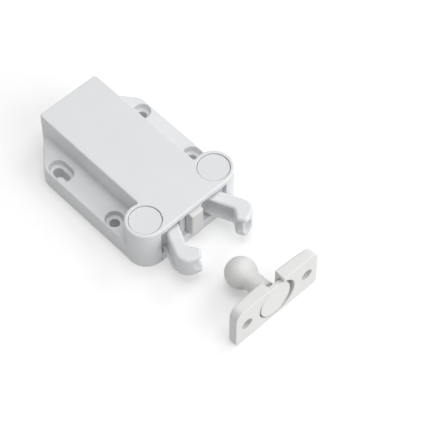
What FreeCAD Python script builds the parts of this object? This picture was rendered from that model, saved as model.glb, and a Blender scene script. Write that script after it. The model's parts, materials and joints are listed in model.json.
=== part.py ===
import FreeCAD, Part
import math
import os

os.makedirs("parts", exist_ok=True)
V = FreeCAD.Vector
UP = V(0, 0, 1)

# Driving sizes, in millimetres and degrees
# Origin: middle of the four cabinet screws, on the mounting plane. Jaws face -Y.

# Cabinet screws: round holes on one diagonal, slots on the other
screw_pitch = 32.0
screw_hole_r = 2.15
recess_r = 3.8
recess_depth = 3.2
slot_travel = 4.0
screw_to_block = 6.8

# Housing
height = 21.0
block_half = 15.0
wall = 2.0
roof = 2.5
pivot_half = 18.25
boss_r = 8.25
boss_ring = 1.5
boss_clear = 0.6
back_length = 66.8
flange_top = 9.5
flange_rim = 0.75
flange_slope = 49.3
flange_corner_r = 8.0
flange_step = 1.35
mouth_inset = 0.75
edge_bevel = 0.8
flange_bevel = 0.6
rear_corner_r = 1.2
nook_r = 0.8
root_r = 1.2

# Clearances
slide_gap = 0.3
bearing_gap = 0.05
window_gap = 0.35
seat_gap = 0.1
lane_gap = 0.25
plate_gap = 0.4
drum_sink = 0.35
rod_gap = 0.5

# Base cover
cover_t = 2.0
cover_rebate = 0.6
sill = 5.0
sill_wall = 1.8
spigot_r = 2.6
spigot_h = 7.0
tongue_w = 4.0
tongue_t = 1.2
tongue_h = 8.4
tongue_inset = 8.8
tongue_gap = 5.8
barb = 0.6
barb_h = 1.4
barb_drop = 0.9
pad_r = 2.4
pad_t = 0.6
guide_w = 2.4
guide_t = 1.0
guide_back = 2.7

# Push stroke and jaws
close_angle = 20.0
pin_r = 1.5
lug_r = 2.6
lug_h = 4.8
lug_clear = 0.5
splay = 24.5
arm_offset = 6.7
arm_w = 5.8
arm_length = 13.8
hook_lean = 2.6
hook_depth = 4.7
hook_reach = 4.55
hook_corner_r = 5.2
tip_taper = 0.5
tip_r = 1.3
bend_r = 2.2
jaw_bevel = 1.1
jaw_lift = 0.9
jaw_headroom = 1.6
ledge_w = 0.9
ledge_h = 1.3
ledge_fade = 2.2
channel_depth = 2.8
channel_r = 3.8
grip_gap = 0.25
neck_gap = 0.4
scoop_r = 4.2
scoop_out = 1.6
web_back = 3.0
web_front = 2.6

# Slider with its push nose
nose_half = 3.15
nose_reach = 2.3
nose_corner_r = 0.8
nose_bevel = 0.5
fork_wall = 1.0
deck_front = 9.0
cam_front = 12.0
cam_wall = 2.05
cam_depth = 2.2
rail_w = 2.0
shoulder = 30.0
shoulder_t = 2.5
rod_length = 12.0
finger_inset = 6.0
follower_arm = 22.0
heart_half = 2.6
heart_dip = 1.0
wire_r = 0.5

# Return springs
coil_r = 2.4
coil_wire_r = 0.4
coil_turns = 8
coil_runs = 6
spring_lift = 2.2
spring_side_gap = 0.5
stub_length = 2.5

# Strike plate and ball stud
strike_x = -1.7
strike_gap = 48.2
strike_margin = 5.7
strike_height = 21.0
strike_end_t = 4.3
strike_crown = 1.1
strike_corner_r = 4.2
strike_foot_r = 2.0
strike_bevel = 0.6
strike_hole_r = 2.7
strike_seat_r = 4.25
strike_seat_depth = 2.0
strike_web = 1.5
pocket_play = 1.65
gate_play = 0.5
ball_r = 6.65
ball_flat = 0.25
neck_r = 4.2
waist_r = 3.0
disc_r = 7.75
disc_t = 2.1
disc_sink = 0.6
ball_reach = 18.96
stem_lift = 0.7
stud_tilt = 2.9
stud_droop = 3.0
stud_shift = 0.14
stud_drop = 0.9

# Derived places
screw_half_x = block_half + screw_to_block
edge_x = screw_half_x + recess_r + flange_rim
pivot_y = -screw_pitch / 2 - slot_travel / 2 - recess_r - boss_clear - boss_r
front_y = pivot_y - boss_r
back_y = pivot_y + back_length
inner_back = back_y - wall
cavity_half = block_half - wall
mouth_half = pivot_half - mouth_inset
window_r = boss_r - boss_ring
drum_r = window_r - window_gap
roof_z = height - roof

drive_r = pivot_half - nose_half - lug_clear - lug_r
half_turn = math.radians(close_angle / 2)
stroke = 2 * drive_r * math.sin(half_turn)
pin_x = pivot_half - drive_r * math.cos(half_turn)
pin_y = pivot_y - drive_r * math.sin(half_turn)

drum_z = sill + slide_gap
jaw_z0 = drum_z + jaw_lift
jaw_z1 = roof_z - jaw_headroom
lug_z1 = jaw_z0 + lug_h
grip_z = (jaw_z0 + jaw_z1) / 2
plate_z0 = lug_z1 + plate_gap
plate_z1 = jaw_z1 - plate_gap
spigot_z = sill + spigot_h
arm_inner = arm_offset + arm_w
hook_back = arm_length + hook_lean
hook_front = hook_back + hook_depth
hook_tip = arm_inner + hook_reach

nose_y = front_y - nose_reach
shoulder_y = pivot_y + shoulder
finger_y = shoulder_y - finger_inset
follower_y = finger_y + follower_arm
slider_half = cavity_half - slide_gap
lane_r = wire_r + lane_gap
cam_half = heart_half + lane_r + cam_wall
cam_z = cover_t + pad_t + 2 * wire_r + pad_t
coil_out = coil_r + coil_wire_r
rod_r = coil_r - coil_wire_r - rod_gap
spring_x = cavity_half - seat_gap - tongue_t - spring_side_gap - coil_out
spring_z = cover_t + spring_lift + coil_out
ball_closed_y = nose_y + stroke - ball_r

strike_half = screw_pitch / 2 + strike_margin
strike_y = front_y - strike_gap
strike_back = strike_y + strike_end_t + strike_crown
pocket_r = disc_r + pocket_play
stud_x = strike_x - stud_shift
stud_z = strike_height / 2 - stud_drop
disc_y = strike_y + disc_sink + disc_t / 2


def box(x0, x1, y0, y1, z0, z1):
    return Part.makeBox(abs(x1 - x0), y1 - y0, z1 - z0, V(min(x0, x1), y0, z0))


def post(x, y, z0, z1, r):
    return Part.makeCylinder(r, z1 - z0, V(x, y, z0))


def bar_y(x, z, y0, y1, r):
    return Part.makeCylinder(r, y1 - y0, V(x, y0, z), V(0, 1, 0))


def prism(points, z0, z1):
    corners = [V(x, y, z0) for x, y in points]
    return Part.Face(Part.makePolygon(corners + corners[:1])).extrude(V(0, 0, z1 - z0))


def slot(x, y, run, z0, z1, r):
    ends = [post(x, y + s * run / 2, z0, z1, r) for s in (-1, 1)]
    return merged(box(x - r, x + r, y - run / 2, y + run / 2, z0, z1), *ends)


def merged(first, *others):
    return first.multiFuse(list(others)).removeSplitter()


def upright(edge):
    a, b = edge.Vertexes[0].Point, edge.Vertexes[-1].Point
    return abs(a.z - b.z) > 0.2 and math.hypot(a.x - b.x, a.y - b.y) < 1e-6


def near(edge, x, y, reach=0.05):
    p = edge.CenterOfMass
    return math.hypot(p.x - x, p.y - y) < reach


def round_uprights(shape, spots, r):
    picked = [e for e in shape.Edges if upright(e) and any(near(e, x, y) for x, y in spots)]
    return shape.makeFillet(r, picked)


def level_edges(shape, z):
    return [e for e in shape.Edges if abs(e.BoundBox.ZMin - z) < 1e-4 and abs(e.BoundBox.ZMax - z) < 1e-4]


def turned(shape, x, y, angle):
    out = shape.copy()
    out.rotate(V(x, y, 0), UP, angle)
    return out


def save(name, shape):
    if len(shape.Solids) != 1 or not shape.isValid():
        raise RuntimeError(name + " is not one sound solid")
    shape.Solids[0].exportStep("parts/" + name + ".step")
    size = shape.BoundBox
    print(name, round(shape.Volume, 1), [round(v, 2) for v in (size.XLength, size.YLength, size.ZLength)])


# Wire of four flats swept along straight runs with mitred bends
def bent_wire(path, r):
    along = path[1] - path[0]
    across = V(1, 0, 0).cross(along).normalize()
    over = along.cross(across).normalize()
    flats = [math.pi * k / 2 for k in range(4)]
    ring = [path[0] + across * (r * math.cos(a)) + over * (r * math.sin(a)) for a in flats]
    return Part.makePolygon(path).makePipeShell([Part.makePolygon(ring + ring[:1])], True, False, 1)


# Housing: one moulding with a block, two pivot bosses and a screw flange on each side
def make_housing():
    block = box(-block_half, block_half, pivot_y, back_y, 0, height)
    block = round_uprights(block, [(-block_half, back_y), (block_half, back_y)], rear_corner_r)
    brow = box(-pivot_half, pivot_half, front_y, pivot_y + boss_r / 2, 0, height)
    bosses = [post(s * pivot_half, pivot_y, 0, height, boss_r) for s in (-1, 1)]
    upper = merged(block, brow, *bosses)
    nook_y = pivot_y + math.sqrt(boss_r ** 2 - (pivot_half - block_half) ** 2)
    upper = round_uprights(upper, [(-block_half, nook_y), (block_half, nook_y)], nook_r)
    upper = upper.makeChamfer(edge_bevel, level_edges(upper, height))

    tip_y = back_y - flange_step
    corner_y = tip_y - (edge_x - block_half) * math.tan(math.radians(flange_slope))
    half = [(edge_x, pivot_y), (edge_x, corner_y), (block_half, tip_y)]
    flange = prism(half + [(-x, y) for x, y in reversed(half)], 0, flange_top)
    flange = round_uprights(flange, [(edge_x, corner_y), (-edge_x, corner_y)], flange_corner_r)
    rim = [e for e in level_edges(flange, flange_top) if e.BoundBox.XLength < 2 * block_half - 1]
    shell = merged(upper, flange.makeChamfer(flange_bevel, rim))

    # Soft root where the block wall meets the flange
    for s in (-1, 1):
        x1 = s * (block_half + root_r)
        root_end = tip_y - 2 * root_r
        strip = box(s * (block_half - root_r), x1, pivot_y, root_end, flange_top - root_r, flange_top + root_r)
        strip = strip.cut(bar_y(x1, flange_top + root_r, pivot_y, back_y, root_r))
        shell = shell.fuse(strip)
    shell = shell.removeSplitter()

    # Inside: main cavity, jaw mouth, pivot windows and the rebate for the cover
    rebate = cavity_half + cover_rebate
    cuts = [box(-cavity_half, cavity_half, front_y - 1, inner_back, -1, roof_z)]
    cuts.append(box(-mouth_half, mouth_half, front_y - 1, pivot_y, -1, roof_z))
    cuts.append(box(-rebate, rebate, pivot_y + boss_r, inner_back + cover_rebate, -1, cover_t))
    for s in (-1, 1):
        cuts.append(post(s * pivot_half, pivot_y, -1, height + 1, window_r))

    # Screw holes with their head recesses
    for sx in (-1, 1):
        for sy in (-1, 1):
            x, y = sx * screw_half_x, sy * screw_pitch / 2
            for r, z0 in ((screw_hole_r, -1), (recess_r, flange_top - recess_depth)):
                if sx == sy:
                    cuts.append(post(x, y, z0, flange_top + 1, r))
                else:
                    cuts.append(slot(x, y, slot_travel, z0, flange_top + 1, r))

    # Relief under each flange between its two screw columns
    for s in (-1, 1):
        round_end = screw_pitch / 2 - recess_r - wall
        slot_end = round_end - slot_travel / 2
        y0, y1 = (-round_end, slot_end) if s < 0 else (-slot_end, round_end)
        cuts.append(box(s * block_half, s * (edge_x - wall), y0, y1, -1, flange_top - wall))

    # Blind pockets that catch the snap tongues of the cover
    for s, y in tongue_spots():
        reach = tongue_w / 2 + plate_gap
        z1 = cover_t + tongue_h - barb_drop
        cuts.append(box(s * (cavity_half - 1), s * (cavity_half + barb + seat_gap), y - reach, y + reach,
                        z1 - barb_h - plate_gap, z1 + plate_gap))
    shell = shell.cut(cuts[0].multiFuse(cuts[1:]))

    # Stubs on the rear wall that hold the springs
    stubs = [bar_y(s * spring_x, spring_z, inner_back - stub_length, back_y - wall / 2, rod_r) for s in (-1, 1)]
    return merged(shell, *stubs)


def tongue_spots():
    front = shoulder_y + stroke + tongue_gap + tongue_w / 2
    return [(s, y) for s in (-1, 1) for y in (front, back_y - tongue_inset)]


# Base cover: floor plate with a raised front sill, pivot spigots, nose guides and snap tongues
def make_cover():
    side = cavity_half + cover_rebate - seat_gap
    narrow = cavity_half - seat_gap
    join_y = pivot_y + boss_r + seat_gap
    plate = box(-side, side, join_y, inner_back + cover_rebate - seat_gap, 0, cover_t)
    parts = [box(-narrow, narrow, front_y, join_y - cover_t / 2, 0, sill)]
    parts.append(box(-narrow, narrow, pivot_y, join_y + cover_t, 0, cover_t))
    lip = mouth_half - seat_gap
    parts.append(box(-lip, lip, front_y, pivot_y, 0, sill))
    for s in (-1, 1):
        parts.append(post(s * pivot_half, pivot_y, 0, sill, window_r - seat_gap))
        parts.append(post(s * pivot_half, pivot_y, 0, spigot_z, spigot_r))
    for s, y in tongue_spots():
        y0, y1 = y - tongue_w / 2, y + tongue_w / 2
        top = cover_t + tongue_h
        barb_top = top - barb_drop
        parts.append(box(s * (narrow - tongue_t), s * narrow, y0, y1, 0, top))
        parts.append(box(s * (narrow - tongue_t), s * (narrow + barb), y0, y1, barb_top - barb_h, barb_top))
    for s in (-1, 1):
        x0 = s * (nose_half + slide_gap)
        y1 = front_y + guide_back
        parts.append(box(x0, x0 + s * guide_w, y1 - guide_t, y1, 0, roof_z - plate_gap))
    parts.append(post(0, follower_y, 0, cover_t + pad_t, pad_r))
    cover = merged(plate, *parts)
    inner = narrow - sill_wall
    hollow = box(-inner, inner, front_y + sill_wall, join_y - cover_t / 2 - sill_wall, -1, sill - cover_t)
    pivot_hole = post(0, follower_y, cover_t / 2 - seat_gap, height, wire_r + bearing_gap)
    return cover.cut(hollow).cut(pivot_hole)


# Slider: push nose, forked crosshead, heart-shaped cam and two spring rods in one moulding
def make_slider():
    nose_top = roof_z - plate_gap
    nose = box(-nose_half, nose_half, nose_y, pivot_y + cam_front, sill + plate_gap, nose_top)
    nose = round_uprights(nose, [(-nose_half, nose_y), (nose_half, nose_y)], nose_corner_r)
    rim = [e for e in level_edges(nose, nose_top) if e.BoundBox.YMin < pivot_y]
    nose = nose.makeChamfer(nose_bevel, rim)

    fork_half = pin_x + pin_r + bearing_gap
    crosshead = box(-fork_half, fork_half, pin_y - pin_r - fork_wall, pivot_y + deck_front, plate_z0, plate_z1)
    for s in (-1, 1):
        inner = pivot_half - drive_r - pin_r - bearing_gap
        gate = box(s * inner, s * fork_half, pin_y - pin_r - bearing_gap, pin_y + pin_r + bearing_gap, 0, height)
        crosshead = crosshead.cut(gate)

    parts = [crosshead, box(-slider_half, slider_half, pivot_y + deck_front, shoulder_y, plate_z0, plate_z1)]
    parts.append(box(-slider_half, slider_half, shoulder_y - shoulder_t, shoulder_y, cam_z, plate_z1))
    parts.append(box(-cam_half, cam_half, pivot_y + cam_front, shoulder_y, cam_z, plate_z1))
    for s in (-1, 1):
        parts.append(box(s * (slider_half - rail_w), s * slider_half, pivot_y + cam_front, shoulder_y,
                         cover_t + slide_gap, roof_z - slide_gap))
        parts.append(bar_y(s * spring_x, spring_z, shoulder_y - 1, shoulder_y + rod_length, rod_r))
    slider = merged(nose, *parts)

    # Heart-shaped groove read by the follower: rest, push lane, latch notch and return lane
    far = finger_y - stroke
    path = [(0, finger_y), (heart_half, far), (0, far + heart_dip), (-heart_half, far), (0, finger_y)]
    lanes = []
    for (x0, y0), (x1, y1) in zip(path, path[1:]):
        run = math.hypot(x1 - x0, y1 - y0)
        lane = slot(0, run / 2, run, 0, cam_z + cam_depth, lane_r)
        lane.rotate(V(0, 0, 0), UP, math.degrees(math.atan2(y1 - y0, x1 - x0)) - 90)
        lane.translate(V(x0, y0, 0))
        lanes.append(lane)
    return slider.cut(lanes[0].multiFuse(lanes[1:]))


# Place on the left jaw: t runs along the arm from the pivot, n runs across it towards the middle
def arm_xy(t, n):
    a = math.radians(splay)
    x = -pivot_half + n * math.cos(a) - t * math.sin(a)
    y = pivot_y - t * math.cos(a) - n * math.sin(a)
    return x, y


def arm_prism(points, z0, z1):
    return prism([arm_xy(t, n) for t, n in points], z0, z1)


# Hooked arm seen from above, from its root web to the tip of the hook
def hooked_arm():
    tips = [(hook_back, hook_tip), (hook_front - tip_taper, hook_tip - tip_taper)]
    corner = (hook_front, arm_offset)
    bend = (arm_length, arm_inner)
    points = [(web_front, arm_inner), bend] + tips + [(hook_front, arm_inner), corner, (web_front, arm_offset)]
    arm = arm_prism(points, jaw_z0, jaw_z1)
    arm = round_uprights(arm, [arm_xy(*corner)], hook_corner_r)
    arm = round_uprights(arm, [arm_xy(*bend)], bend_r)
    return round_uprights(arm, [arm_xy(*tip) for tip in tips], tip_r)


def make_jaw():
    drum = post(-pivot_half, pivot_y, drum_z, height - drum_sink, drum_r)
    arm = hooked_arm()
    root_mid = arm_xy(web_front, arm_offset + arm_w / 2)
    arm = arm.makeChamfer(jaw_bevel, [e for e in level_edges(arm, jaw_z1) if not near(e, *root_mid)])
    outer = arm_offset - ledge_w
    skirt = [(web_front, arm_offset + ledge_fade), (web_front, outer), (hook_front - hook_corner_r, outer)]
    skirt.append((hook_front - ledge_fade / 2, arm_offset + ledge_fade))
    ledge = arm_prism(skirt, jaw_z0, jaw_z0 + ledge_h)

    # Webs that join drum, arm and drive lug; the lug is turned forward by half of the closing angle
    beside = drum_r + bearing_gap
    upper_web = [(-web_back, 0), (-web_back, beside), (web_front, arm_inner), (2 * web_front, arm_inner),
                 (2 * web_front, arm_offset), (web_front, 0)]
    lower_web = [(-web_back, 0), (-web_back, arm_inner), (web_front, arm_inner), (2 * web_front, arm_offset),
                 (web_front, 0)]
    parts = [arm, ledge, arm_prism(upper_web, lug_z1 - ledge_h, jaw_z1), arm_prism(lower_web, jaw_z0, lug_z1)]
    lug = box(-pivot_half, -pivot_half + drive_r, pivot_y - lug_r, pivot_y + lug_r, jaw_z0, lug_z1)
    lug = merged(lug, post(-pivot_half + drive_r, pivot_y, jaw_z0, lug_z1, lug_r))
    parts.append(turned(lug, -pivot_half, pivot_y, -close_angle / 2))
    parts.append(post(-pin_x, pin_y, jaw_z0, plate_z1 - plate_gap, pin_r))
    jaw = merged(drum, *parts)

    # Finger channel along the arm, lead-in scoop, then the ball seat and neck notch as they lie when closed
    groove_n = arm_inner - channel_depth + channel_r
    x0, y0 = arm_xy(web_front, groove_n)
    x1, y1 = arm_xy(arm_length, groove_n)
    channel = Part.makeCylinder(channel_r, arm_length - web_front, V(x0, y0, grip_z), V(x1 - x0, y1 - y0, 0))
    seat = Part.makeSphere(ball_r + grip_gap, V(0, ball_closed_y, grip_z))
    notch_r = neck_r + neck_gap
    notch = bar_y(0, grip_z, ball_closed_y - ball_reach, ball_closed_y, notch_r)
    scoop = Part.makeSphere(scoop_r, V(*arm_xy(hook_front + scoop_out, hook_tip), grip_z))
    bore = post(-pivot_half, pivot_y, 0, spigot_z + plate_gap, spigot_r + bearing_gap)
    for cutter in (seat, notch):
        jaw = jaw.cut(turned(cutter, -pivot_half, pivot_y, -close_angle))
    return jaw.cut(scoop).cut(channel).cut(bore)


def make_spring(side):
    y0 = shoulder_y + seat_gap + coil_wire_r
    y1 = inner_back - seat_gap - coil_wire_r
    count = coil_turns * coil_runs
    path = []
    for i in range(count + 1):
        turn = 2 * math.pi * i / coil_runs
        x = side * spring_x + coil_r * math.cos(turn)
        path.append(V(x, y0 + (y1 - y0) * i / count, spring_z + coil_r * math.sin(turn)))
    return bent_wire(path, coil_wire_r)


# Follower: a bent wire with a pivot leg in the cover and a finger in the heart groove
def make_follower():
    z = cover_t + pad_t + wire_r + seat_gap
    path = [V(0, follower_y, cover_t / 2), V(0, follower_y, z), V(0, finger_y, z)]
    return bent_wire(path + [V(0, finger_y, cam_z + cam_depth - plate_gap)], wire_r)


# Strike plate: crowned on the ball side, with two screw holes and an open slot for the stud
def make_strike():
    x0, x1 = strike_x - strike_half, strike_x + strike_half
    y1 = strike_y + strike_end_t
    front = Part.makeLine(V(x0, strike_y, 0), V(x1, strike_y, 0))
    crown = Part.Arc(V(x1, y1, 0), V(strike_x, strike_back, 0), V(x0, y1, 0)).toShape()
    ends = [Part.makeLine(V(x, strike_y, 0), V(x, y1, 0)) for x in (x0, x1)]
    plate = Part.Face(Part.Wire([front, ends[1], crown, ends[0]])).extrude(V(0, 0, strike_height))
    corners = [e for e in plate.Edges if e.BoundBox.XLength < 0.01 and e.BoundBox.YLength > strike_end_t / 2]
    shoulders = [e for e in corners if e.BoundBox.ZMin > strike_height / 2]
    plate = plate.makeFillet(strike_corner_r, shoulders)
    corners = [e for e in plate.Edges if e.BoundBox.XLength < 0.01 and e.BoundBox.YLength > strike_end_t / 2]
    feet = [e for e in corners if e.BoundBox.ZMax < 0.01]
    plate = plate.makeFillet(strike_foot_r, feet)
    crest = [e for e in plate.Edges if e.BoundBox.YMin > y1 - strike_bevel]
    plate = plate.makeChamfer(strike_bevel, crest)

    mid_z = strike_height / 2
    gate_r = waist_r + gate_play
    far = strike_back + 1
    cuts = [bar_y(strike_x, mid_z, strike_y - 1, strike_back - strike_web, pocket_r)]
    cuts.append(bar_y(strike_x, stud_z, strike_y - 1, far, gate_r))
    cuts.append(box(strike_x - gate_r, strike_x + gate_r, strike_y - 1, far, stud_z, strike_height + 1))
    for s in (-1, 1):
        x = strike_x + s * screw_pitch / 2
        cuts.append(bar_y(x, mid_z, strike_y - 1, far, strike_hole_r))
        cuts.append(bar_y(x, mid_z, y1 - strike_seat_depth, far, strike_seat_r))
    return plate.cut(cuts[0].multiFuse(cuts[1:]))


# Ball stud: base disc, waist, stem and ball turned as one piece, leaning to the left and drooping in its gate
def make_stud():
    foot = -disc_t / 2
    stem_at = strike_back + stem_lift - disc_y
    ball_at = strike_y + ball_reach - disc_y
    line = [(0, foot), (disc_r, foot), (disc_r, foot + disc_t), (waist_r, foot + disc_t), (waist_r, stem_at)]
    line += [(neck_r, stem_at), (neck_r, ball_at), (0, ball_at), (0, foot)]
    stem = Part.Face(Part.makePolygon([V(r, d, 0) for r, d in line])).revolve(V(0, 0, 0), V(0, 1, 0), 360)
    ball = Part.makeSphere(ball_r, V(0, ball_at, 0), V(0, 1, 0))
    flat = bar_y(0, 0, ball_at + ball_r - ball_flat, ball_at + 2 * ball_r, ball_r)
    stud = merged(stem, ball).cut(flat)
    stud.rotate(V(0, 0, 0), V(1, 0, 0), -stud_droop)
    stud.rotate(V(0, 0, 0), UP, stud_tilt)
    stud.translate(V(stud_x, disc_y, stud_z))
    return stud


left = make_jaw()
save("housing", make_housing())
save("base_cover", make_cover())
save("slider", make_slider())
save("left_jaw", left)
save("right_jaw", left.mirror(V(0, 0, 0), V(1, 0, 0)))
save("left_spring", make_spring(-1))
save("right_spring", make_spring(1))
save("cam_follower", make_follower())
save("strike_plate", make_strike())
save("ball_stud", make_stud())
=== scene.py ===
# %% [markdown]
# Cupboard catch: the dressed model
# The catch is a white moulded latch with two hooked jaws and a push nose, and a strike with a ball on a
# stud that the jaws grip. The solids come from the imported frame, in metres, already in their places. They
# could simply be painted, but their edges are crisp and a moulding's are not. So each moulding is raised
# again with soft edges, from places read off the frame, and rides on the body of the solid it stands for.

# %% Load the frame
import bmesh
import bpy
import json
import math
from mathutils import Matrix, Vector

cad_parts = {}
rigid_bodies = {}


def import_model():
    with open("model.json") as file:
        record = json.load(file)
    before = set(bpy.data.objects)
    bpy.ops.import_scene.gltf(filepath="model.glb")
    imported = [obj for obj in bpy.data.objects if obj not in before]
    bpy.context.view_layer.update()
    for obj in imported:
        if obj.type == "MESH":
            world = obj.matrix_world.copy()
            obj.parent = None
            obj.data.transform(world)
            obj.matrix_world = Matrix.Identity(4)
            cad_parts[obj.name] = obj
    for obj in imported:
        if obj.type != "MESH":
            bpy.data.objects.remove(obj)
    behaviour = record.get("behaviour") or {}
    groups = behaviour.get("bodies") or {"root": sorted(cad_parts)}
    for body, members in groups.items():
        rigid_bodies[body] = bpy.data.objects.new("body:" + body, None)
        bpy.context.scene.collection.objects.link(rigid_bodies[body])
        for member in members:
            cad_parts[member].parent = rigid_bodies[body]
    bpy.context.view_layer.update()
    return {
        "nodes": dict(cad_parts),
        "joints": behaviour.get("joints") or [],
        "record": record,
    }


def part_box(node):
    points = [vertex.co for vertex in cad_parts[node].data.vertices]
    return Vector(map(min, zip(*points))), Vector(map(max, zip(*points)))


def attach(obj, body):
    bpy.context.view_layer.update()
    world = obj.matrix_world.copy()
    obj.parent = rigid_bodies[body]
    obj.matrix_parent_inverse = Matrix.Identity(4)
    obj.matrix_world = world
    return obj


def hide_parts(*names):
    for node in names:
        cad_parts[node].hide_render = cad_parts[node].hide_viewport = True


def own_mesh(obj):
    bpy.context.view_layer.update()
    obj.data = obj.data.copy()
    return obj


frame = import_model()
mm = 0.001

# %% [markdown]
# Material helpers
# Every finish here is made of the same few nodes: a noise, a mix of two colours and a spread of values. They
# could be typed out in every material, but with a small helper for each, a material reads as a list of what
# the surface does.

# %% Material helpers
def new_material(name):
    material = bpy.data.materials.new(name)
    material.use_nodes = True
    return material, material.node_tree.nodes, material.node_tree.links


def noise_on(nodes, links, place, scale, detail):
    noise = nodes.new("ShaderNodeTexNoise")
    noise.inputs["Scale"].default_value = scale
    noise.inputs["Detail"].default_value = detail
    links.new(place, noise.inputs["Vector"])
    return noise.outputs["Fac"]


def mixed_colour(nodes, links, factor, first, second):
    mix = nodes.new("ShaderNodeMix")
    mix.data_type = "RGBA"
    mix.inputs["A"].default_value = (*first, 1)
    mix.inputs["B"].default_value = (*second, 1)
    links.new(factor, mix.inputs["Factor"])
    return mix.outputs["Result"]


def spread_value(nodes, links, value, low, high):
    spread = nodes.new("ShaderNodeMapRange")
    spread.inputs["To Min"].default_value = low
    spread.inputs["To Max"].default_value = high
    links.new(value, spread.inputs["Value"])
    return spread.outputs["Result"]


print("material helpers ready")

# %% [markdown]
# The plastics
# Moulded ABS is white but never one flat colour: it is a touch uneven in tint over a centimetre or so, and
# the mould's spark-eroded skin gives it a very fine grain that breaks up the gloss. A painted picture could
# show that, but it needs the surface laid out flat and it blurs close up. Two noise textures on Object
# coordinates have neither fault, and the grain stays with the piece when it moves. A little subsurface light
# softens the shade, as it does in real white plastic.

# %% Plastic material
cloud_size, cloud_detail = 14 * mm, 3
grain_size, grain_detail = 0.16 * mm, 2
grain_depth, grain_strength, rough_spread = 0.02 * mm, 0.12, 0.06
inner_light, inner_depth, inner_tint = 0.12, 1.2 * mm, (1.0, 0.95, 0.9)
plastic_ior = 1.5


def moulded_plastic(name, pale, deep, rough):
    material, nodes, links = new_material(name)
    shader = nodes["Principled BSDF"]
    shader.inputs["IOR"].default_value = plastic_ior
    shader.inputs["Subsurface Weight"].default_value = inner_light
    shader.inputs["Subsurface Radius"].default_value = inner_tint
    shader.inputs["Subsurface Scale"].default_value = inner_depth
    place = nodes.new("ShaderNodeTexCoord").outputs["Object"]
    cloud = noise_on(nodes, links, place, 1 / cloud_size, cloud_detail)
    links.new(mixed_colour(nodes, links, cloud, deep, pale), shader.inputs["Base Color"])
    grain = noise_on(nodes, links, place, 1 / grain_size, grain_detail)
    uneven = spread_value(nodes, links, grain, rough - rough_spread, rough + rough_spread)
    links.new(uneven, shader.inputs["Roughness"])
    bump = nodes.new("ShaderNodeBump")
    bump.inputs["Strength"].default_value = grain_strength
    bump.inputs["Distance"].default_value = grain_depth
    links.new(grain, bump.inputs["Height"])
    links.new(bump.outputs["Normal"], shader.inputs["Normal"])
    return material


finishes = {
    "white_shell": moulded_plastic("shell_white", (0.80, 0.81, 0.82), (0.76, 0.77, 0.78), 0.44),
    "white_jaw": moulded_plastic("jaw_white", (0.79, 0.80, 0.815), (0.75, 0.76, 0.775), 0.42),
    # The slider's white is a touch warmer than the shell's and set darker too: the darkening is painted shade
    # for the nose, which sits under the lip.
    "white_slider": moulded_plastic("slider_white_painted_shade", (0.72, 0.72, 0.71), (0.68, 0.68, 0.67), 0.46),
    "white_strike": moulded_plastic("strike_white", (0.80, 0.80, 0.79), (0.76, 0.76, 0.75), 0.50),
}
print("plastics:", sorted(finishes))

# %% [markdown]
# The steel wire
# The springs and the cam follower are drawn spring steel, and drawing leaves fine streaks on the wire. They
# could follow each turn on a UV map, but the wire is thin and lies in the dark. So the colour and the
# roughness follow a noise that is stretched ten times in one direction, which breaks up the shine enough.

# %% Steel material
streak_across, streak_along, streak_detail = 0.3 * mm, 3 * mm, 2
steel_dark, steel_light = (0.48, 0.49, 0.51), (0.66, 0.67, 0.69)
steel_smooth, steel_rough = 0.25, 0.45


def drawn_steel(name):
    material, nodes, links = new_material(name)
    shader = nodes["Principled BSDF"]
    shader.inputs["Metallic"].default_value = 1.0
    streak = nodes.new("ShaderNodeMapping")
    streak.inputs["Scale"].default_value = (1 / streak_across, 1 / streak_along, 1 / streak_across)
    links.new(nodes.new("ShaderNodeTexCoord").outputs["Object"], streak.inputs["Vector"])
    noise = noise_on(nodes, links, streak.outputs["Vector"], 1.0, streak_detail)
    links.new(mixed_colour(nodes, links, noise, steel_dark, steel_light), shader.inputs["Base Color"])
    links.new(spread_value(nodes, links, noise, steel_smooth, steel_rough), shader.inputs["Roughness"])
    return material


finishes["spring_steel"] = drawn_steel("drawn_steel")
print("finishes:", sorted(finishes))

# %% [markdown]
# Drawing outlines
# Almost every moulding here is an outline seen from above, raised to a height, with its upper edge eased to
# a small round. A bevel modifier on a finished block could ease the edges, but it pinches where a round
# boss meets a flat wall. So the rounds are drawn into the shapes from the start, and the first tools are for
# outlines: an arc, a polygon whose corners take a radius, and a slot. All sizes below are in millimetres, as
# on a drawing, and each finished mesh is brought to metres at the end.

# %% Outline tools
def arc(x, y, r, start, end, step=6):
    count = max(2, round(abs(end - start) / step))
    turns = [math.radians(start + (end - start) * i / count) for i in range(count + 1)]
    return [(x + r * math.cos(a), y + r * math.sin(a)) for a in turns]


def rounded_polygon(corners):
    outline = []
    for i, (x, y, r) in enumerate(corners):
        here = Vector((x, y))
        if r == 0:
            outline.append((x, y))
            continue
        before = (Vector(corners[i - 1][:2]) - here).normalized()
        after = (Vector(corners[(i + 1) % len(corners)][:2]) - here).normalized()
        half = before.angle(after) / 2
        centre = here + (before + after).normalized() * (r / math.sin(half))
        first = here + before * (r / math.tan(half)) - centre
        last = here + after * (r / math.tan(half)) - centre
        start = math.degrees(math.atan2(first.y, first.x))
        turn = (math.degrees(math.atan2(last.y, last.x)) - start + 180) % 360 - 180
        outline += arc(centre.x, centre.y, r, start, start + turn)
    return outline


def stadium(x, y, r, run):
    return arc(x, y + run / 2, r, 0, 180) + arc(x, y - run / 2, r, 180, 360)


def mirrored(half):
    return half + [(-p[0], *p[1:]) for p in reversed(half)]


print("a slot outline has", len(stadium(0, 0, 2, 4)), "points")

# %% [markdown]
# Raising outlines
# A soft prism stacks copies of its outline: each copy is drawn in or let out a little, along a quarter
# circle, where the edge is round. A negative round flares the top outwards, which is what a cutter needs to
# leave a round rim behind, and the cutter then runs on past the face that it opens.

# %% Soft prism
round_steps, same_point, over = 5, 1e-4, 1.0


def link_object(name, data):
    obj = bpy.data.objects.new(name, data)
    bpy.context.scene.collection.objects.link(obj)
    return obj


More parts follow.
